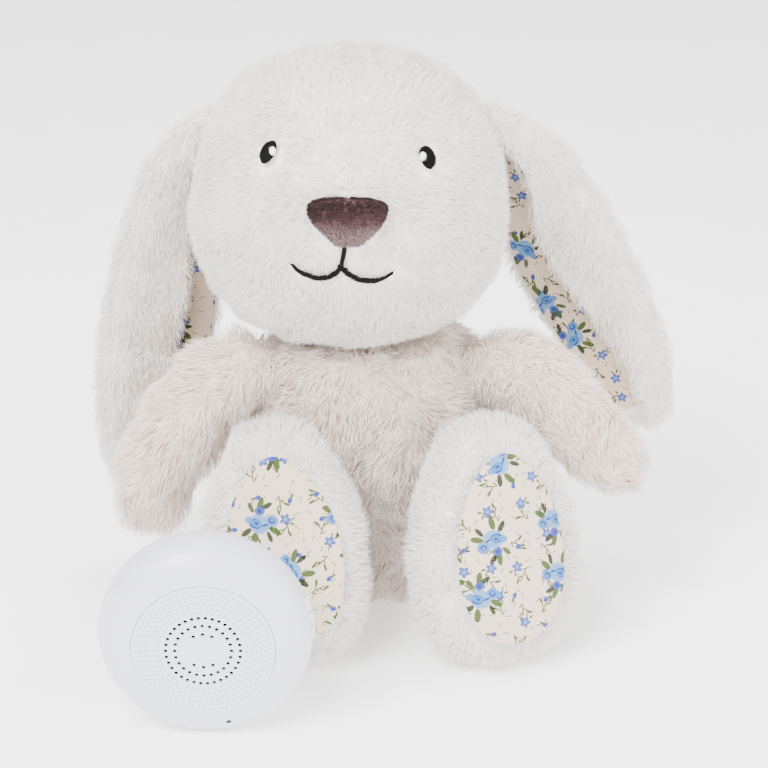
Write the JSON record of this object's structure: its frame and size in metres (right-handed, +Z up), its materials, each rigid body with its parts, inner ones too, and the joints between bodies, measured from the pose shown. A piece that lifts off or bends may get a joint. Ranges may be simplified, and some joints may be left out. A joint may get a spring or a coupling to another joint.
{
  "type": "interactive plush pet",
  "caption": "Seated lop-eared plush rabbit with printed cotton soles and ear linings, a back pocket, and the round battery sound module that fits in it standing in front of one foot.",
  "frame": {"origin": "The middle of the footprint of the pet and its module, on the surface that they stand on.", "axes": "+Z is up, the pet faces -Y, and +X is to the right as seen from the front. The span from ear to ear is along X."},
  "size_m": [0.2508, 0.2214, 0.24],
  "materials": {
    "plush_white": "short white polyester plush",
    "plush_cream": "longer cream polyester plush",
    "floral_cotton": "printed cotton, small flowers on cream",
    "fibre_fill": "loose polyester fibre",
    "nose_plush": "short mauve-brown pile",
    "black_thread": "satin stitch",
    "eye_thread": "raised embroidery with a light glint",
    "bead_cloth": "woven bag of plastic beads",
    "liner_cloth": "woven polyester lining",
    "touch_tape": "hook-and-loop tape",
    "label_satin": "woven satin, blank",
    "shell_plastic": "satin white moulded plastic",
    "grille_plastic": "satin white moulded plastic",
    "key_plastic": "satin white moulded plastic",
    "sound_cloth": "black acoustic cloth",
    "speaker_steel": "zinc plated",
    "cone_paper": "treated paper",
    "board": "green solder mask",
    "cell_wrap": "wrapped lithium cell",
    "socket_metal": "plated steel",
    "led_lens": "smoked lens",
    "screw_steel": "plated steel"
  },
  "bodies": {
    "torso": {"torso_cover": "plush_cream", "torso_stuffing": "fibre_fill", "bead_bag": "bead_cloth", "pocket_liner": "liner_cloth", "loop_tape_left": "touch_tape", "loop_tape_right": "touch_tape", "tail": "plush_white", "care_label": "label_satin"},
    "head": {"head_cover": "plush_white", "head_stuffing": "fibre_fill", "nose": "nose_plush", "mouth_embroidery": "black_thread", "eye_left": "eye_thread", "eye_right": "eye_thread"},
    "ear_left": {"ear_left_cover": "plush_white", "ear_left_lining": "floral_cotton"},
    "ear_right": {"ear_right_cover": "plush_white", "ear_right_lining": "floral_cotton"},
    "arm_left": {"arm_left_cover": "plush_cream", "arm_left_stuffing": "fibre_fill"},
    "arm_right": {"arm_right_cover": "plush_cream", "arm_right_stuffing": "fibre_fill"},
    "leg_left": {"leg_left_cover": "plush_white", "leg_left_stuffing": "fibre_fill", "leg_left_sole": "floral_cotton"},
    "leg_right": {"leg_right_cover": "plush_white", "leg_right_stuffing": "fibre_fill", "leg_right_sole": "floral_cotton"},
    "flap": {"pocket_flap": "plush_cream", "hook_tape_left": "touch_tape", "hook_tape_right": "touch_tape"},
    "sound_module": {"module_front_housing": "shell_plastic", "module_rear_housing": "shell_plastic", "module_grille": "grille_plastic", "sound_cloth": "sound_cloth", "speaker_basket": "speaker_steel", "speaker_cone": "cone_paper", "speaker_magnet": "speaker_steel", "circuit_board": "board", "key_board": "board", "battery": "cell_wrap", "charging_socket": "socket_metal", "status_led": "led_lens", "housing_screw_1": "screw_steel", "housing_screw_2": "screw_steel", "housing_screw_3": "screw_steel"},
    "volume_down": {"volume_down_key": "key_plastic"},
    "play": {"play_key": "key_plastic"},
    "volume_up": {"volume_up_key": "key_plastic"}
  },
  "joints": [
    {"name": "head_turn", "type": "hinge", "parent": "torso", "child": "head", "pos_m": [-0.01235, 0.03669, 0.116], "axis": [0, 0, 1], "range_deg": [-8, 8]},
    {"name": "ear_left_flop", "type": "hinge", "parent": "head", "child": "ear_left", "pos_m": [-0.06535, 0.04669, 0.205], "axis": [0, 1, 0], "range_deg": [0, 40]},
    {"name": "ear_right_flop", "type": "hinge", "parent": "head", "child": "ear_right", "pos_m": [0.03765, 0.04669, 0.205], "axis": [0, -1, 0], "range_deg": [0, 40]},
    {"name": "arm_left_swing", "type": "hinge", "parent": "torso", "child": "arm_left", "pos_m": [-0.05135, 0.03069, 0.101], "axis": [0, 1, 0], "range_deg": [0, 25]},
    {"name": "arm_right_swing", "type": "hinge", "parent": "torso", "child": "arm_right", "pos_m": [0.03865, 0.03069, 0.101], "axis": [0, -1, 0], "range_deg": [0, 25]},
    {"name": "leg_left_spread", "type": "hinge", "parent": "torso", "child": "leg_left", "pos_m": [-0.02635, 0.02219, 0.03], "axis": [0, 0, -1], "range_deg": [0, 6]},
    {"name": "leg_right_spread", "type": "hinge", "parent": "torso", "child": "leg_right", "pos_m": [0.02965, 0.02219, 0.03], "axis": [0, 0, 1], "range_deg": [0, 6]},
    {"name": "pocket_flap_lift", "type": "hinge", "parent": "torso", "child": "flap", "pos_m": [-0.00435, 0.09169, 0.113], "axis": [1, 0, 0], "range_deg": [0, 110]},
    {"name": "module_slide", "type": "slide", "parent": "torso", "child": "sound_module", "axis": [0, -1, 0], "range_m": [0, 0.08]},
    {"name": "volume_down_press", "type": "slide", "parent": "sound_module", "child": "volume_down", "axis": [-0.9999, 0.001, -0.0142], "range_m": [0, 0.0008], "stiffness_N_per_m": 700, "springref_m": -0.0008},
    {"name": "play_press", "type": "slide", "parent": "sound_module", "child": "play", "axis": [-0.9877, 0.0109, -0.1561], "range_m": [0, 0.0008], "stiffness_N_per_m": 700, "springref_m": -0.0008},
    {"name": "volume_up_press", "type": "slide", "parent": "sound_module", "child": "volume_up", "axis": [-0.9554, 0.0206, -0.2947], "range_m": [0, 0.0008], "stiffness_N_per_m": 700, "springref_m": -0.0008}
  ]
}
